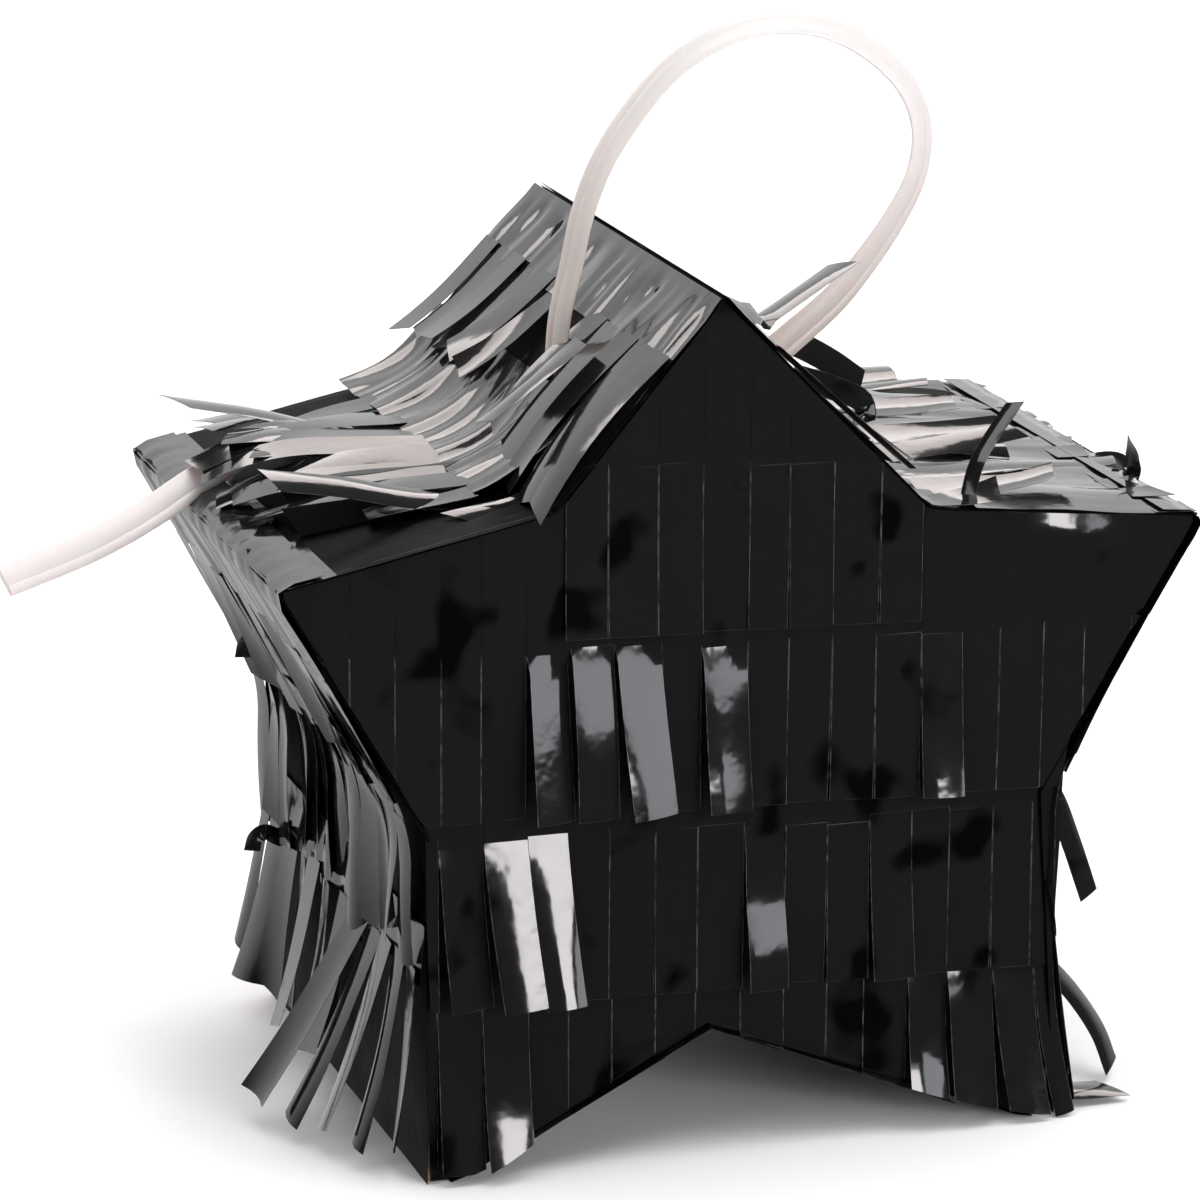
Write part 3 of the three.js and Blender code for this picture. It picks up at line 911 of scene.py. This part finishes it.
def add_band(sheets, wall, seed, header, strip_end, base, style, special):
    """A header from header[0] to header[1] down the wall, then its strips to strip_end."""
    rng = random.Random(seed)
    places = slits(rng, DEPTH_LOW, DEPTH_HIGH, style["jitter"])
    span = header[1] - header[0]

    def rise(a, d):
        """How far the header stands off the wall: it is gathered in pleats that run down it."""
        share = (d - header[0]) / span
        pleats = style["pleats"] * wave((a * 2.2, d * 0.25, 0), 7, seed + 5)
        swell = style["wave"] * wave((a * 1.2, d, 0), 14, seed + 2)
        low = style["rise"] * smooth_step(share, 0, 1)
        return base + low + (pleats + swell) * smooth_step(share, 0, 0.35)

    across = np.linspace(style["front"], DEPTH_HIGH, 61)
    down = np.linspace(header[0], header[1], 11)
    sheets.add(wall.place([[(a, d, rise(a, d)) for a in across] for d in down]))
    length = strip_end - header[1]
    for index, (a0, a1) in enumerate(zip(places, places[1:])):
        bend = random_bend(rng, *(style[k] for k in ("lift", "curl", "skew", "twist")), cup=style["cup"])
        extra = rng.uniform(*style["extra"])
        slant = rng.uniform(-0.4, 0.4)
        option = special.get(index, {})
        if option == "gone":
            continue
        bend = dict(bend, **option.get("bend", {}))
        extra = option.get("extra", extra)
        slit = header[1] - rng.uniform(0.0, 2.5)
        foot = rise((a0 + a1) / 2, header[1])
        gap = rng.uniform(*style["gap"])
        rows, edges = bent_strip(a0 + gap, a1 - gap, slit, length + extra, foot, bend, slant, 18)
        rows = [[(a, d, max(h, STRIP_LOWEST)) for a, d, h in row] for row in rows]
        sheets.add(wall.place(rows), edges)


def style_of(**changes):
    """A band's look: each angle is (middle, spread) in degrees, and the rest is in millimetres."""
    style = {
        "wave": 0.3, "pleats": 0.15, "rise": 0.0, "lift": (2, 1.2), "curl": (1, 3), "skew": (0, 1.5),
        "twist": (0, 5), "cup": 0.2, "extra": (-1.5, 0.5), "jitter": 0.9, "front": DEPTH_LOW,
        "gap": (0.05, 0.3),
    }
    return dict(style, **changes)


def add_wall_band(name, node, wall, seed, header, strip_end, base, style, special=None, cover=None, holes=()):
    """One band of wall fringe as a piece, with the cover of its wall where `cover` is given."""
    sheets = Sheets()
    if cover:
        add_cover(sheets, cover, seed, holes)
    add_band(sheets, wall, seed, header, strip_end, base, style, special or {})
    piece = sheets.build(name)
    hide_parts(node)
    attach(piece, "box")


def special_strips(keys, table, gone):
    """A band's special strips by index, for those that were given their own bend or torn off.

    Each row of the table has a value for each key, None where it stays random, and then the
    strip's extra length.
    """
    special = dict.fromkeys(gone, "gone")
    for index, row in table.items():
        bend = {key: value for key, value in zip(keys, row) if value is not None}
        special[index] = {"bend": degrees(**bend), "extra": row[-1]}
    return special


def add_top_bands():
    """The two sides of the top point."""
    hole = Vector((LOOP_PROFILE[0][0], LOOP_PLANE, LOOP_PROFILE[0][1]))
    other_hole = Vector((LOOP_PROFILE[-1][0], LOOP_PLANE, LOOP_PROFILE[-1][1]))
    special = special_strips(("lift", "curl", "skew", "curl_from"), {
        0: (9, -16, -5, 0.1, 4.0), 1: (8, -15, -3, 0.1, 4.0), 2: (9, -14, -2, 0.1, 3.0),
        3: (8, -12, 0, 0.1, 1.0), 4: (12, -14, 3, 0.1, -2.0), 7: (10, 14, 3, 0.2, -7.0),
        8: (9, 13, 2, 0.2, -6.0), 9: (8, 12, 2, 0.2, -6.5), 10: (7, 12, 1, 0.2, -6.0),
        11: (5, 12, 1, 0.2, -6.0), 12: (4, 12, 0, 0.2, -5.0),
    }, gone=(5, 6))
    left = straight_wall("top_tip", "left_shoulder")
    add_wall_band(
        "top_left_band", "top_left_fringe", left, 41, (0, 13), left.length, 0.7,
        style_of(wave=0.6, pleats=0.8, rise=0.6), special, left, (hole,),
    )
    right = straight_wall("top_tip", "right_shoulder")
    add_wall_band(
        "top_right_band", "top_right_fringe", right, 42, (0, 13), right.length, 0.7,
        style_of(wave=0.5, pleats=0.4, rise=0.4, lift=(2, 1.5), curl=(0, 2), extra=(-4, -1)),
        {4: "gone", 5: "gone"}, right, (other_hole,),
    )


def add_arm_lower_band(side, seed, starts):
    """The underside of an arm: its band goes round the tip.

    It starts on the arm's top, at that share of the way to the tip.
    """
    shoulder, tip, waist = f"{side}_shoulder", f"{side}_tip", f"{side}_waist"
    round_tip = Wall([(shoulder, tip, starts), (shoulder, tip, 1.0), (tip, waist, 1.0)], 1.5)
    add_wall_band(
        f"{side}_arm_lower_band", f"{side}_arm_lower_fringe", round_tip, seed, (0, 22), 46, 1.0,
        style_of(wave=0.35, pleats=0.25, lift=(2, 1), curl=(2, 3), twist=(0, 9), extra=(-4, 2)),
        {}, straight_wall(tip, waist),
    )


def add_left_arm_bands():
    """The left point: a raised bundle of strips comes out of the notch above it."""
    hole = Vector((TAIL_START.x, TAIL_START.y, 95.3))
    top = straight_wall("left_shoulder", "left_tip")
    through_notch = Wall([
        ("top_tip", "left_shoulder", 0.62), ("top_tip", "left_shoulder", 1.0),
        ("left_shoulder", "left_tip", 1.0),
    ], 9)
    special = special_strips(("lift", "curl", "skew", "twist", "roll"), {
        2: (2, -3, 14, None, None, -12.0), 3: (7, -16, 27, -10, None, 3.0), 4: (9, -20, 24, -10, 12, 4.0),
        5: (11, -24, 20, -8, 12, 6.0), 6: (13, -27, 14, -4, 11, 7.0), 7: (14, -26, 8, 4, None, 6.0),
        8: (13, -22, 2, 6, None, 3.0), 9: (9, -16, -2, 6, None, -2.0), 10: (4, -8, -3, None, None, -12.0),
    }, gone=(0, 1, 11, 12))
    add_wall_band(
        "left_arm_band", "left_arm_top_fringe", through_notch, 43, (0, 22), 50, 0.9,
        style_of(wave=0.9, pleats=0.5, rise=1.0, front=DEPTH_LOW + 15), special, top, (hole,),
    )
    add_wall_band(
        "left_tip_band", "left_tip_fringe", top, 44, (33, 36.5), top.length, 0.5,
        style_of(wave=0.15, pleats=0.05, extra=(-2, -1), cup=0.05),
    )
    add_arm_lower_band("left", 47, 0.84)


def add_right_arm_bands():
    top = straight_wall("right_shoulder", "right_tip")
    special = {index: {"bend": degrees(roll=11, twist=-4)} for index in (1, 4, 6, 9, 11)}
    special[0] = {"extra": -12.0}
    add_wall_band(
        "right_arm_band", "right_arm_top_fringe", top, 45, (0, 3), 26, 0.9,
        style_of(wave=0.6, lift=(5, 3), curl=(2, 6), skew=(-2, 3), twist=(0, 12), extra=(-5, 5), cup=0.4),
        special, top,
    )
    add_wall_band(
        "right_tip_band", "right_tip_fringe", top, 46, (7, 36), top.length, 0.6,
        style_of(wave=0.6, pleats=0.2, extra=(-1, 0)),
    )
    add_arm_lower_band("right", 48, 0.86)


def add_leg_bands(side, seed, spread):
    """The outer wall of a leg: two bands, the upper one starting above the waist.

    spread is 1 where the lower strips fan out and less where they hang closer to the wall.
    """
    tip, waist, heel = f"{side}_tip", f"{side}_waist", f"{side}_heel"
    over_waist = Wall([(tip, waist, 0.72), (tip, waist, 1.0), (waist, heel, 1.0)], 7)
    down = straight_wall(waist, heel)
    fan = special_strips(("lift", "curl", "skew", "twist"), {
        i: (3 + 7 * i * spread, 6 * spread, 1 - i, 4 * i - 10, 0.5 + 0.8 * i * spread) for i in range(5)
    }, gone=())
    add_wall_band(
        f"{side}_leg_upper_band", f"{side}_leg_upper_fringe", over_waist, seed, (0, 9), 35, 1.5,
        style_of(wave=0.7, pleats=0.5, lift=(3 * spread, 2.5 * spread), curl=(-3, 5), skew=(0, 2),
                 twist=(0, 15), cup=0.5, extra=(-5, 3), jitter=1.3, gap=(0.1, 0.8)),
    )
    add_wall_band(
        f"{side}_leg_lower_band", f"{side}_leg_lower_fringe", down, seed + 1, (14, 23), 51.5, 0.7,
        style_of(wave=0.8, pleats=0.5, rise=0.8, lift=(9 * spread, 4 * spread), curl=(2, 6 * spread),
                 skew=(3, 3), twist=(0, 18), cup=0.5, extra=(-4, 0), jitter=1.5, gap=(0.1, 0.8)),
        fan, down,
    )


def add_inner_leg_bands():
    for side, seed, header, end in (("left", 53, 10, 37), ("right", 54, 12, 46)):
        wall = straight_wall("crotch", f"{side}_toe")
        add_wall_band(
            f"{side}_leg_inner_band", f"{side}_leg_inner_fringe", wall, seed, (0, header), end, 0.6,
            style_of(lift=(0.4, 0.2), curl=(0, 0.5), twist=(0, 1), extra=(-2, -1), cup=0.05), {}, wall,
        )


add_top_bands()
add_left_arm_bands()
add_right_arm_bands()
add_leg_bands("left", 49, 1.0)
add_leg_bands("right", 59, 0.3)
add_inner_leg_bands()

# ------------------------------------------------------------------ loose strips


def add_ribbon(sheets, points, width, turns, slant):
    """A strip of foil along points.

    turns are degrees, at its start and its end, from facing the camera towards facing up.
    """
    steps = 20
    path, _ = smooth_path([Vector(p) for p in points], steps)
    rows, edges = [], []
    columns = strip_columns(-width / 2, width / 2)
    for step, centre in enumerate(path):
        tangent = (path[min(step + 1, steps)] - path[max(step - 1, 0)]).normalized()
        share = step / steps
        facing = (TO_CAMERA - tangent * tangent.dot(TO_CAMERA)).normalized()
        upper = tangent.cross(facing)
        if upper.z < 0:
            upper = -upper
        turn = math.radians(turns[0] + (turns[1] - turns[0]) * share)
        face = facing * math.cos(turn) + upper * math.sin(turn)
        across = tangent.cross(face)
        bow = 0.06 * width * math.sin(share * 2.7)  # most a little past the strip's middle
        row = []
        for w in columns:
            bowed = face * (bow * (1 - (2 * w / width) ** 2))
            row.append(tuple(centre + across * w + bowed + tangent * (slant * w * share)))
        rows.append(row)
        edges.append([WALL_CUT] + [0.0] * (len(columns) - 2) + [WALL_CUT])
    sheets.add(rows, edges)


# each is (centre line, width, turns, slant of its cut end)
LOOSE_STRIPS = [
    # over the top point and its right side
    ([(-3, -38, 127.5), (2.4, -37, 125), (3.6, -37, 124.9), (16, -35, 131.6)], 6.8, (69, 69.5), 0.3),
    ([(22, 5, 110.8), (25.1, 6, 109.8), (31, 8, 106.4), (36.9, 10, 102.2)], 4.4, (20, 24), 0.0),
    ([(22, 0, 106.5), (27.6, 0, 104.6), (33, 0, 102), (33.6, 0, 98.5)], 4.6, (30, 40), 0.0),
    # beside the right leg and foot
    ([(49, -31, 51.5), (53.6, -30.5, 46.5), (57, -30, 39), (60.4, -30, 29.8)], 4.8, (45, 48), -0.1),
    ([(48.5, -30, 23.5), (52.6, -30, 20.4), (58, -30, 14.6), (62.4, -30.5, 8), (64.8, -31, 1.9)],
     5.0, (56, 58), 0.1),
    ([(46, -38, 2.4), (52.3, -38, 1.9), (57, -38, 1.5), (62, -38, 1.3)], 6.4, (70, 72), 0.5),
    # on the right arm
    ([(33.6, -40.5, 94.4), (36, -38, 100.3), (39.1, -36, 104.1), (43.8, -34, 109)], 2.4, (25, 30), 0.6),
    ([(66.5, -20, 92.5), (69, -20, 92.4), (69.4, -20, 95), (68.3, -20, 97.6)], 3.6, (40, 60), 0.4),
    ([(61, -14, 92.6), (67, -11, 92.6), (72, -9, 91.5), (75.5, -8, 88.5)], 4.4, (70, 30), 0.3),
    # under the strap's left end
    ([(-19, -21, 119.2), (-23.6, -21, 115.6), (-28.6, -22, 112.3), (-34, -22, 108.4)], 6.0, (68, 74), 0.3),
    # curls on the left leg
    ([(-50, 30, 62.5), (-53.2, 30, 63.8), (-55.6, 30, 62.4), (-56.2, 30, 60.2)], 3.4, (40, 30), 0.3),
    ([(-50, 32, 29.6), (-52.4, 32, 30.8), (-54, 32, 30), (-54.6, 32, 28)], 3.0, (40, 30), 0.3),
    # along the front of the left arm
    ([(-27, -24, 101.5), (-33, -25, 98.6), (-44, -25, 98.4), (-56, -24, 100.8), (-66, -22, 102)],
     6.4, (62, 62), 0.5),
    ([(-28, -34, 101), (-33, -34, 98.8), (-41.4, -34, 97.6)], 5.4, (50, 60), 0.7),
    # two strips on edge under the raised ones
    ([(-31, -24, 97.2), (-40, -23, 96.4), (-52, -22, 95.8), (-62, -20, 94.6)], 5.4, (15, 15), 0.5),
    ([(-30, -14, 98.5), (-40, -13, 97.4), (-50, -12, 97), (-60, -10, 95.5)], 5.8, (15, 15), 0.5),
]

RAISED_STRIPS = [
    # the bundle over the left arm that the strap's tail comes out from under
    ([(-33, 20, 95.6), (-43.7, 20, 97.4), (-56.5, 20, 101.2), (-69.3, 20, 104)], 6.0, (72, 76), 0.6),
    ([(-24, -6, 102), (-31, -4, 97.6), (-42, 0, 97.6), (-53, 4, 99.4), (-61, 5, 99.3)], 6.8, (56, 74), -0.4),
    ([(-24, 1, 102), (-31, 4, 97.4), (-43, 7, 97.8), (-55, 10, 100.2), (-64, 11, 100)], 7.2, (52, 76), -0.3),
    ([(-24, 8, 102), (-32, 11, 97.2), (-44, 14, 97.8), (-56, 17, 100.4), (-65.5, 17, 100.1)],
     6.8, (54, 78), 0.2),
    ([(-25, 15, 101), (-33, 18, 96.8), (-45, 22, 97.4), (-56, 24, 99.6), (-64, 24, 99.4)],
     6.4, (60, 78), 0.5),
]


def add_loose_strips(name, strips):
    sheets = Sheets()
    for points, width, turns, slant in strips:
        add_ribbon(sheets, points, width, turns, slant)
    piece = sheets.build(name)
    return piece


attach(add_loose_strips("loose_strips", LOOSE_STRIPS), "box")
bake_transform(add_loose_strips("raised_strips", RAISED_STRIPS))

# ------------------------------------------------------------------ flap


def add_flap_fringe():
    header, base, seed = 8, 0.3, 61
    low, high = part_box("fill_flap")
    rng = random.Random(seed)
    sheets = Sheets()
    places = slits(rng, low.x / MM, high.x / MM)
    top, bottom = high.z / MM, low.z / MM
    face = Face((0, high.y / MM, 0), (1, 0, 0), (0, 0, -1), (0, 1, 0))
    slit = top - header
    for a0, a1 in zip(places, places[1:]):
        columns = strip_columns(a0 + SLIT_GAP, a1 - SLIT_GAP)
        count = len(columns)
        add_header(sheets, face, columns, [(slit, top)] * count, base, seed)
        bend = random_bend(rng, *PLAIN_BEND)
        add_trimmed_strip(sheets, face, columns, [slit] * count, [slit - bottom] * count, slit, base, bend)
    piece = sheets.build("flap_row")
    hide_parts("flap_fringe")
    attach(piece, "flap")


add_flap_fringe()

# ------------------------------------------------------------------ CAD nodes that stay


def paint_frame():
    for name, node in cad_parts.items():
        if "fringe" in name or name in ("hanging_loop", "ribbon_tail"):
            continue
        if "glue_tabs" in name:
            material = TABS
        elif "knot" in name or "inner_run" in name:
            material = STRAP
        else:
            material = CARD
        for slot in node.material_slots:
            slot.material = material


paint_frame()

# ------------------------------------------------------------------ studio


def add_floor():
    mesh = bpy.data.meshes.new("floor")
    half_m = 4.0
    corners = [(x * half_m, y * half_m, 0) for x, y in ((-1, -1), (1, -1), (1, 1), (-1, 1))]
    mesh.from_pydata(corners, [], [(0, 1, 2, 3)])
    mesh.materials.append(floor_material())
    floor = link_object("floor", mesh)
    floor.visible_glossy = False


def add_softbox(name, direction, distance_m, width_m, height_m, radiance, colour=(1, 1, 1), mirrored=True):
    """An area light of the given radiance that faces the pinata from `direction`.

    A light that is not mirrored lights the floor and the strap and never shows in the foil.
    """
    data = bpy.data.lights.new(name, "AREA")
    data.shape = "RECTANGLE"
    data.size, data.size_y = width_m, height_m
    data.energy = radiance * math.pi * width_m * height_m
    data.color = colour
    light = link_object(name, data)
    way = Vector(direction).normalized()
    light.location = way * distance_m + Vector((0, 0, 0.07))
    light.rotation_euler = way.to_track_quat("Z", "Y").to_euler()
    light.visible_glossy = mirrored


def add_world():
    """A studio that shows in the foil as bright behind the pinata and dark in front and overhead.

    The backdrop itself is plain and pale from every side.
    """
    world = bpy.data.worlds.new("studio")
    world.use_nodes = True
    tree = world.node_tree
    background = tree.nodes["Background"]
    place = tree.nodes.new("ShaderNodeTexCoord")
    split = tree.nodes.new("ShaderNodeSeparateXYZ")
    tree.links.new(place.outputs["Generated"], split.inputs["Vector"])
    depth = add_ramp(tree, add_range(tree, split.outputs["Y"], 0, 1, start=-1), [
        (0.0, (0.03, 0.03, 0.032)), (0.58, (0.045, 0.045, 0.048)),
        (0.68, grey(0.55)), (0.8, grey(0.95)),
    ])
    height = add_ramp(tree, add_range(tree, split.outputs["Z"], 0, 1, start=-1), [
        (0.0, grey(0.15)), (0.3, grey(0.42)), (0.42, grey(0.75)), (0.5, grey(1)), (0.74, grey(1)),
        (0.8, (0.12, 0.12, 0.125)),
    ])
    mirrored = add_mix(tree, 1.0, depth, height, blend="MULTIPLY")
    path = tree.nodes.new("ShaderNodeLightPath")
    backdrop = add_mix(tree, path.outputs["Is Camera Ray"], mirrored, grey(0.66))
    tree.links.new(backdrop, background.inputs["Color"])
    background.inputs["Strength"].default_value = 1.25
    bpy.context.scene.world = world


def add_studio():
    add_floor()
    add_world()
    add_softbox("key_softbox", (0.318, -0.925, 0.208), 1.1, 0.32, 0.36, 15, (1, 0.96, 0.965))
    add_softbox("side_softbox", (0.654, -0.727, 0.208), 1.15, 0.45, 0.55, 4.2, (0.93, 0.95, 1))
    add_softbox("back_softbox", (0.02, 0.8, 0.62), 1.2, 1.5, 0.3, 4.5, (1, 0.92, 0.89))
    add_softbox("overhead_softbox", (0.1, -0.1, 1.0), 1.2, 1.1, 1.1, 3.2)
    add_softbox("left_softbox", (-0.9, -0.35, 0.5), 1.2, 0.6, 0.6, 2.5)
    add_softbox("floor_fill", (0, 0, 1), 2.6, 5.0, 5.0, 0.75, mirrored=False)
    bpy.context.scene.view_settings.view_transform = "Standard"


add_studio()
